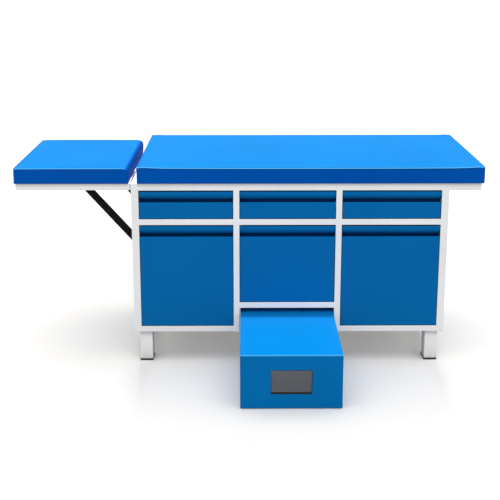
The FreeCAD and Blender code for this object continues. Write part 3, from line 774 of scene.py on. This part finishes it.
def swell_cover(piece, held, limit, pressure, frames):
    """Runs the cover as cloth under the foam's push, outwards only and never past the limit."""
    scene = bpy.context.scene
    start = [vertex.co.copy() for vertex in piece.data.vertices]
    facing = [vertex.normal.copy() for vertex in piece.data.vertices]
    group = piece.vertex_groups.new(name="held")
    group.add(held, 1.0, "REPLACE")
    cloth = piece.modifiers.new("Swell", "CLOTH")
    settings = cloth.settings
    settings.quality = 5
    settings.mass = 0.3
    settings.tension_stiffness = 30.0
    settings.compression_stiffness = 30.0
    settings.shear_stiffness = 15.0
    settings.bending_stiffness = 2.0
    settings.use_pressure = True
    settings.uniform_pressure_force = pressure
    settings.vertex_group_mass = group.name
    settings.effector_weights.gravity = 0.0
    cloth.point_cache.frame_start = 1
    cloth.point_cache.frame_end = frames
    for number in range(1, frames + 1):
        scene.frame_set(number)
    swollen = piece.evaluated_get(bpy.context.evaluated_depsgraph_get())
    moved = [vertex.co.copy() for vertex in swollen.data.vertices]
    piece.modifiers.remove(cloth)
    piece.vertex_groups.remove(group)
    scene.frame_set(1)
    for vertex, before, after, normal in zip(piece.data.vertices, start, moved, facing):
        shift = after - before
        shift -= normal * min(0.0, shift.dot(normal))
        reach = shift.length
        if reach > WELD:
            vertex.co = before + shift * (limit * math.tanh(reach / limit) / reach)


def make_cover(side, body, end_radius):
    """One cushion's cover with its piping, its corner seams and its stitches."""
    settings = covers()
    node = side + "_cushion"
    low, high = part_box(node)
    inset = Vector((settings.slack, settings.slack, 0.0))
    low = low + inset
    high = high - inset - Vector((0.0, 0.0, settings.slack))
    radius = settings.edge_radius
    edge = (0.0, radius * 0.5, radius, radius * 2.0)
    end = drop = edge
    if end_radius > radius:
        end = [end_radius * share for share in ROUND_END_STOPS]
        drop = [0.0, radius * 0.5, radius, end_radius * 0.5, end_radius * 0.75, end_radius]
    xs = stops(low.x, high.x, (edge, end), settings.grid)
    ys = stops(low.y, high.y, (edge, edge), settings.grid)
    zs = stops(low.z, high.z, ((0.0, radius * 0.5, radius), drop), settings.grid)
    mesh, made = grid_block(
        xs, ys, zs, lambda point: on_block(point, low, high, radius, end_radius))
    mesh.verts.index_update()
    numbers = {place: vertex.index for place, vertex in made.items()}
    top_row = zs.index(max(z for z in zs if z <= high.z - radius + WELD))
    # Faces below the top's rounded edge take the side vinyl, darker as painted shade.
    shaded_side_top = high.z - radius * 0.45
    for face in mesh.faces:
        if face.calc_center_median().z < shaded_side_top:
            face.material_index = 1
    cover = new_piece(side + "_cover", mesh, "vinyl", body,
                      smooth_angle=math.radians(180))
    cover.data.materials.append(finish_of("side_vinyl"))
    held = [number for (i, j, k), number in numbers.items() if k <= 1]      # the lowest rows
    swell_cover(cover, held, settings.swell, settings.pressure, settings.frames)
    smoothing = cover.modifiers.new("Finer", "SUBSURF")
    smoothing.levels = 1
    smoothing.render_levels = 1
    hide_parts(node)

    last_x, last_y = len(xs) - 1, len(ys) - 1
    loop = [(i, 0) for i in range(last_x)] + [(last_x, j) for j in range(last_y)]
    loop += [(i, last_y) for i in range(last_x, 0, -1)] + [(0, j) for j in range(last_y, 0, -1)]

    def on_cover(places):
        return [cover.data.vertices[numbers[place]].co.copy() for place in places]

    piping = bmesh.new()
    add_rod(piping, on_cover([(i, j, top_row + 1) for i, j in loop]), settings.piping_radius,
            closed=True)
    new_piece(side + "_cover_piping", piping, "piping", body)
    seams = bmesh.new()
    for i, j in ((0, 0), (last_x, 0), (last_x, last_y), (0, last_y)):
        column = on_cover([(i, j, k) for k in range(1, top_row + 1)])
        add_rod(seams, column, settings.seam_radius)
    new_piece(side + "_cover_seams", seams, "side_vinyl", body)
    thread = bmesh.new()
    add_stitches(thread, on_cover([(i, j, top_row) for i, j in loop]), settings.stitch)
    new_piece(side + "_cover_stitches", thread, "thread", body)


# Tube frame: square tube with rounded corners, run a little into what it is welded to

def touches(boxes, point):
    return any(all(low[axis] - WELD < point[axis] < high[axis] + WELD for axis in range(3))
               for low, high in boxes)


def tube_frame(name, nodes, body):
    """One welded frame from the boxes of its tubes, with a cap in every open end."""
    radius = metal().tube_radius
    cap = metal().cap_thickness
    probe = 0.001
    inset = Vector((radius, radius, radius)) * 0.5
    boxes = [box for node in nodes for box in outer_boxes(node)]
    tubes = bmesh.new()
    caps = bmesh.new()
    for low, high in boxes:
        axis = longest_axis(high - low)
        centre = (low + high) / 2.0
        start, finish = low.copy(), high.copy()
        for side, target in ((-1, start), (1, finish)):
            end = target[axis]
            centre[axis] = end + side * probe
            if touches(boxes, centre):
                target[axis] = end + side * radius
                continue
            cap_low, cap_high = low + inset, high - inset
            cap_low[axis], cap_high[axis] = end - cap, end + cap
            add_bar(caps, cap_low, cap_high, radius, axis)
        add_bar(tubes, start, finish, radius, axis)
    frame_piece = new_piece(name, tubes, "frame_paint", body)
    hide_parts(*nodes)
    new_piece(name + "_end_caps", caps, "cap_plastic", body)


def make_legs():
    """The four legs, run a little into the frame, and the glides they stand on."""
    legs = bmesh.new()
    glides = bmesh.new()
    radius = metal().tube_radius * 1.5
    run_in = Vector((0.0, 0.0, metal().tube_radius))
    for low, high in outer_boxes("legs"):
        add_bar(legs, low, high + run_in, radius)
    leg_tubes = new_piece("leg_tubes", legs, "leg_paint", "cabinet")
    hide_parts("legs")
    for low, high in outer_boxes("foot_glides"):
        add_bar(glides, low, high, radius, axis=2)
    glide_shoes = new_piece("glide_shoes", glides, "black_rubber", "cabinet")
    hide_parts("foot_glides")


def paint_pocket_shade(piece, node):
    """Gives the faces inside a front's finger pocket a darker blue: painted shade in the pocket."""
    low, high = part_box(node)
    skin = 0.002
    deepest = [vertex.co.z for vertex in frame["nodes"][node].data.vertices
               if vertex.co.y > high.y - WELD]
    pocket_low, pocket_high = min(deepest) + skin / 2.0, max(deepest) - skin / 2.0
    piece.data.materials.append(finish_of("pocket_painted_shade"))
    for face in piece.data.polygons:
        inside = low.y + skin * 0.75 < face.center.y < high.y - skin / 2.0
        if inside and pocket_low < face.center.z < pocket_high:
            face.material_index = 1


def make_gap_shades():
    """Black strips inside each front's opening and behind each front's top edge, which paint the
    gaps dark: painted shade.
    """
    thick = metal().gap_shade_thickness
    shade_inset, shade_reach = 0.0008, 0.016
    strip_radius = 0.001
    strip_low, strip_high = Vector((0.0005, 0.002, -0.0065)), Vector((-0.0005, 0.007, -0.0004))
    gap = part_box("door_left")[0].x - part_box("post_front_left")[1].x
    shade_strips = bmesh.new()
    for bay in BAYS:
        for kind in ("drawer_front_", "door_"):
            low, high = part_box(kind + bay)
            near, far = low.y + shade_inset, low.y + shade_reach
            left, right = low.x - gap, high.x + gap
            base, top = low.z - gap, high.z + gap
            sides = (
                (left, base, left + thick, top), (right - thick, base, right, top),
                (left, base, right, base + thick), (left, top - thick, right, top),
            )
            for x0, z0, x1, z1 in sides:
                add_bar(shade_strips, Vector((x0, near, z0)), Vector((x1, far, z1)), thick * 0.4)
            # A black strip behind the front's top edge: painted shade in the top gap.
            strip = bmesh.new()
            add_bar(strip, Vector((low.x, low.y, high.z)) + strip_low,
                    Vector((high.x, low.y, high.z)) + strip_high, strip_radius)
            body = frame["nodes"][kind + bay]["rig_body"]
            new_piece(kind + bay + "_seal", strip, "seal", body)
    new_piece("opening_gap_shade", shade_strips, "seal", "cabinet")


def add_rivet(mesh, place, axis, side, radius):
    """A domed rivet head that stands out of a face along one axis."""
    across, up = other_axes(axis)
    rings = []
    for reach, height in RIVET_DOME:
        ring = []
        for turn in range(RIVET_SIDES):
            angle = 2.0 * math.pi * turn / RIVET_SIDES
            point = place.copy()
            point[axis] += side * radius * height
            point[across] += radius * reach * math.cos(angle)
            point[up] += radius * reach * math.sin(angle)
            ring.append(mesh.verts.new(point))
        rings.append(ring)
    join_rings(mesh, rings)


def between(low, high, margin, pitch):
    """Even places from one end to the other, at about the pitch."""
    count = max(2, round((high - low - margin * 2) / pitch) + 1)
    step = (high - low - margin * 2) / (count - 1)
    return [low + margin + step * number for number in range(count)]


def rivet_panels():
    """Rivets along the edges of the side panels and the back panel, on their outer faces."""
    rivets = bmesh.new()
    radius = metal().rivet_radius
    margin, pitch, upright_pitch = 0.012, 0.16, 0.12
    panels = (("side_panel_left", 0, -1), ("side_panel_right", 0, 1), ("back_panel", 1, 1))
    for node, axis, side in panels:
        low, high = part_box(node)
        face = low[axis] if side < 0 else high[axis]
        along = 1 - axis
        rows = [(place, level) for place in between(low[along], high[along], margin, pitch)
                for level in (low.z + margin, high.z - margin)]
        rows += [(place, level) for place in (low[along] + margin, high[along] - margin)
                 for level in between(low.z, high.z, margin, upright_pitch)[1:-1]]
        for place, level in rows:
            point = Vector((0.0, 0.0, level))
            point[axis] = face
            point[along] = place
            add_rivet(rivets, point, axis, side, radius)
    new_piece("panel_rivets", rivets, "front_paint", "cabinet",
              smooth_angle=math.radians(60))


def shade_hand_hole_rim():
    """Black edging on the turned-in rim of the step's hand hole, with a lip round its front:
    painted shade on the rim.
    """
    thick = metal().hand_hole_shade_thickness
    lip, radius = thick * 1.5, thick * 0.3
    margin = 0.03
    step_low, step_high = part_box("step_body")
    mesh = welded_copy("step_body")
    rim = [vertex for vertex in mesh.verts
           if step_low.x + margin < vertex.co.x < step_high.x - margin
           and step_low.z + margin < vertex.co.z < step_high.z - margin]
    low, high = corners_of([vertex for vertex in rim if vertex.co.y < step_low.y + WELD])
    high.y = corners_of(rim)[1].y
    mesh.free()
    shade_edging = bmesh.new()
    near = low.y - thick
    for far, outside, inside in ((low.y, -lip, 0.0), (high.y, 0.0, thick)):
        for level, side in ((low.z, 1.0), (high.z, -1.0)):
            base, top = sorted((level + outside * side, level + inside * side))
            add_bar(shade_edging, Vector((low.x + outside, near, base)),
                    Vector((high.x - outside, far, top)), radius, axis=0)
        for level, side in ((low.x, 1.0), (high.x, -1.0)):
            left, right = sorted((level + outside * side, level + inside * side))
            add_bar(shade_edging, Vector((left, near, low.z + inside)),
                    Vector((right, far, high.z - inside)), radius, axis=2)
    new_piece("hand_hole_shade_edging", shade_edging, "black_rubber", "step")


# Operators

class EXAMTABLE_OT_cushions(bpy.types.Operator):
    """Covers the main cushion and the head cushion in vinyl"""

    bl_idname = "exam_table.cushions"
    bl_label = "Cushions"

    def execute(self, context):
        make_cover("main", "cabinet", covers().edge_radius)
        make_cover("head", "head_section", covers().hinge_end_radius)
        paint_nodes("board_wood", "main_board", "head_board")
        return {"FINISHED"}


class EXAMTABLE_OT_tube_frame(bpy.types.Operator):
    """Makes the welded tube frames of the cabinet and the head section, and the legs"""

    bl_idname = "exam_table.tube_frame"
    bl_label = "Tube frame"

    def execute(self, context):
        tube_frame("cabinet_frame", CABINET_TUBES, "cabinet")
        tube_frame("head_frame", HEAD_TUBES, "head_section")
        make_legs()
        return {"FINISHED"}


class EXAMTABLE_OT_fronts(bpy.types.Operator):
    """Folds the drawer fronts and the doors, and paints the shade in their gaps"""

    bl_idname = "exam_table.fronts"
    bl_label = "Drawer fronts and doors"

    def execute(self, context):
        for bay in BAYS:
            for node in ("drawer_front_" + bay, "door_" + bay):
                folded = rounded_node(node, metal().fold_radius, "front_paint",
                                      node + "_folded")
                paint_pocket_shade(folded, node)
        make_gap_shades()
        return {"FINISHED"}


class EXAMTABLE_OT_cabinet(bpy.types.Operator):
    """Paints the panels, cupboards and drawers, and finishes their fittings and rivets"""

    bl_idname = "exam_table.cabinet"
    bl_label = "Cabinet"

    def execute(self, context):
        paint_nodes("front_paint", "side_panel_left", "side_panel_right", "back_panel")
        paint_nodes("inner_paint", "partition_middle_left", "partition_middle_right",
                    "cupboard_floors")
        for bay in BAYS:
            node = "drawer_box_" + bay
            rounded_node(node, metal().fold_radius / 2.0, "inner_paint",
                         node + "_folded")
            paint_nodes("slide_plastic", "drawer_slides_" + bay)
        paint_nodes("zinc_steel", "drawer_runners")
        paint_nodes("pin_steel", "door_pivot_pins")
        paint_nodes("slide_plastic", "door_catches")
        rivet_panels()
        return {"FINISHED"}


class EXAMTABLE_OT_hinges_and_struts(bpy.types.Operator):
    """Finishes the hinges and the ratchet struts of the head section"""

    bl_idname = "exam_table.hinges_and_struts"
    bl_label = "Hinges and struts"

    def execute(self, context):
        paint_nodes("zinc_steel", "hinge_leaves_fixed", "hinge_leaves_moving", "hinge_pins")
        fold = metal().fold_radius
        struts = ("strut_tube_front", "strut_bar_front", "strut_tube_rear", "strut_bar_rear")
        brackets = ("strut_brackets_low", "strut_brackets_high")
        for nodes, radius in ((struts, fold), (brackets, fold / 2.0)):
            for node in nodes:
                rounded_node(node, radius, "strut_black", node + "_painted")
        return {"FINISHED"}


class EXAMTABLE_OT_step(bpy.types.Operator):
    """Folds the pull-out step and sets it on its feet"""

    bl_idname = "exam_table.step"
    bl_label = "Step"

    def execute(self, context):
        rounded_node("step_body", metal().step_radius, "step_paint", "step_folded",
                     segments=3)
        shade_hand_hole_rim()
        paint_nodes("black_rubber", "step_feet")
        return {"FINISHED"}


def seen_or_mirrored(tree):
    """One where a ray comes from the camera, a reflection or a clear surface, else nought."""
    path = tree.nodes.new("ShaderNodeLightPath")
    total = path.outputs["Is Camera Ray"]
    for ray in ("Is Glossy Ray", "Is Transmission Ray"):
        total = maths(tree, "MAXIMUM", total, path.outputs[ray])
    return total


def two_looks(tree, output_kind, plain, shown):
    """Ends the tree with its plain look, and with the other where it is seen or mirrored."""
    mix = add_node(tree, "ShaderNodeMixShader", {
        "Fac": seen_or_mirrored(tree), 1: plain.outputs[0], 2: shown.outputs[0]})
    add_node(tree, output_kind, {"Surface": mix.outputs["Shader"]})


def white_floor(colour):
    """Pale floor that shows near white where no shadow falls on it."""
    material = bpy.data.materials.new("studio_floor")
    material.use_nodes = True
    tree = material.node_tree
    tree.nodes.clear()
    plain = add_node(tree, "ShaderNodeBsdfDiffuse", {"Color": (*colour, 1.0)})
    lifted = add_node(tree, "ShaderNodeBsdfDiffuse", {"Color": (1.0, 0.985, 0.96, 1.0)})
    glow = add_node(tree, "ShaderNodeEmission", {"Strength": 0.02})
    both = add_node(tree, "ShaderNodeAddShader", {0: lifted.outputs[0], 1: glow.outputs[0]})
    two_looks(tree, "ShaderNodeOutputMaterial", plain, both)
    return material


def even_sky(strength):
    """Even light from all round, seen as a white backdrop."""
    world = bpy.data.worlds.new("studio_sky")
    world.use_nodes = True
    tree = world.node_tree
    tree.nodes.clear()
    white = (1.0, 1.0, 1.0, 1.0)
    light, backdrop = [
        add_node(tree, "ShaderNodeBackground", {"Color": white, "Strength": level})
        for level in (strength, 1.0)]
    two_looks(tree, "ShaderNodeOutputWorld", light, backdrop)
    return world


def add_lamp(name, strength, softness, lean):
    """A far lamp that leans towards the user's side."""
    lamp = bpy.data.lights.new(name, "SUN")
    lamp.energy = strength
    lamp.angle = softness
    holder = add_object(name, lamp)
    holder.rotation_euler = (lean, 0.0, 0.0)
    return holder


def light_only(name, pieces, lamps):
    """Lets the lamps light these pieces and nothing else."""
    lit = bpy.data.collections.new(name)
    for piece in pieces:
        lit.objects.link(piece)
    for lamp in lamps:
        lamp.light_linking.receiver_collection = lit


class EXAMTABLE_OT_studio(bpy.types.Operator):
    """Sets the floor, the light and the camera"""

    bl_idname = "exam_table.studio"
    bl_label = "Studio"

    def execute(self, context):
        scene = context.scene
        settings = studio()
        scene.view_settings.view_transform = "Standard"
        scene.world = even_sky(settings.sky)

        mesh = bmesh.new()
        bmesh.ops.create_grid(mesh, x_segments=1, y_segments=1, size=FLOOR_REACH)
        data = bpy.data.meshes.new("floor")
        mesh.to_mesh(data)
        mesh.free()
        data.materials.append(white_floor(settings.floor_colour))
        floor = add_object("floor", data)
        floor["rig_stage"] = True

        upright = math.pi / 2.0
        key = add_lamp("key", settings.key, settings.key_softness, -settings.key_lean)
        fill = add_lamp("fill", settings.fill, settings.fill_softness,
                        upright - settings.fill_height)
        light_only("lit_from_above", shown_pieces(), (key, fill))
        top = add_lamp("top", settings.top, settings.top_softness, 0.0)
        back = add_lamp("back", settings.back, settings.back_softness,
                        settings.back_height - upright)
        light_only("lit_floor", (floor,), (top, back))

        camera_data = bpy.data.cameras.new("camera")
        camera_data.sensor_width = SENSOR
        camera_data.lens = settings.focal_pixels / PICTURE * SENSOR
        camera_data.shift_y = (settings.centre_row - PICTURE / 2.0) / PICTURE
        camera_data.clip_end = CAMERA_REACH
        camera = add_object("camera", camera_data)
        camera.location = settings.camera_place
        camera.rotation_euler = (upright - settings.camera_pitch, 0.0, settings.camera_yaw)
        scene.camera = camera
        return {"FINISHED"}


OPERATORS = (
    EXAMTABLE_OT_cushions,
    EXAMTABLE_OT_tube_frame,
    EXAMTABLE_OT_fronts,
    EXAMTABLE_OT_cabinet,
    EXAMTABLE_OT_hinges_and_struts,
    EXAMTABLE_OT_step,
    EXAMTABLE_OT_studio,
)


class EXAMTABLE_PT_panel(bpy.types.Panel):
    """The table's pieces and their settings"""

    bl_idname = "EXAMTABLE_PT_panel"
    bl_label = "Examination table"
    bl_space_type = "VIEW_3D"
    bl_region_type = "UI"
    bl_category = "Exam Table"

    def draw(self, context):
        for operator in OPERATORS:
            self.layout.operator(operator.bl_idname)
        for group in (covers(), metal(), studio()):
            column = self.layout.column()
            for name in type(group).__annotations__:
                column.prop(group, name)


GROUPS = {
    "exam_table_covers": ExamTableCovers,
    "exam_table_metal": ExamTableMetal,
    "exam_table_studio": ExamTableStudio,
}


def register():
    for group in GROUPS.values():
        bpy.utils.register_class(group)
    for name, group in GROUPS.items():
        setattr(bpy.types.Scene, name, PointerProperty(type=group))
    for operator in OPERATORS:
        bpy.utils.register_class(operator)
    bpy.utils.register_class(EXAMTABLE_PT_panel)


def unregister():
    bpy.utils.unregister_class(EXAMTABLE_PT_panel)
    for operator in reversed(OPERATORS):
        bpy.utils.unregister_class(operator)
    for name, group in GROUPS.items():
        delattr(bpy.types.Scene, name)
        bpy.utils.unregister_class(group)


def main():
    register()
    bpy.ops.exam_table.cushions()
    bpy.ops.exam_table.tube_frame()
    bpy.ops.exam_table.fronts()
    bpy.ops.exam_table.cabinet()
    bpy.ops.exam_table.hinges_and_struts()
    bpy.ops.exam_table.step()
    bpy.ops.exam_table.studio()


if __name__ == "__main__":
    main()
